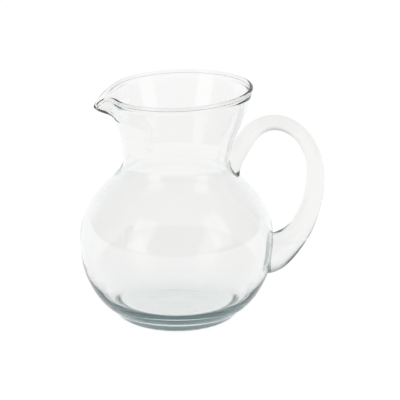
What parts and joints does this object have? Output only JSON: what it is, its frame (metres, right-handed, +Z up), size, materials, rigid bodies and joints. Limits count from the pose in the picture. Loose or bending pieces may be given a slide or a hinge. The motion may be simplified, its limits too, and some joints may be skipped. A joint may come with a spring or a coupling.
{
  "type": "water jug",
  "caption": "Clear glass water jug with a round belly, a waisted neck flaring to a rim with a drooping pouring spout, and an applied loop handle.",
  "frame": {"origin": "centre of the belly's axis on the flat underside, on the surface the jug stands on", "axes": "+Z up along the vessel's axis, +X towards the handle, spout on -X"},
  "size_m": [0.2201, 0.1744, 0.2152],
  "materials": {
    "vessel_glass": "clear blown soda-lime glass, fire polished",
    "handle_glass": "clear solid drawn glass, fire polished"
  },
  "bodies": {
    "root": {"vessel": "vessel_glass", "handle": "handle_glass"}
  },
  "joints": []
}
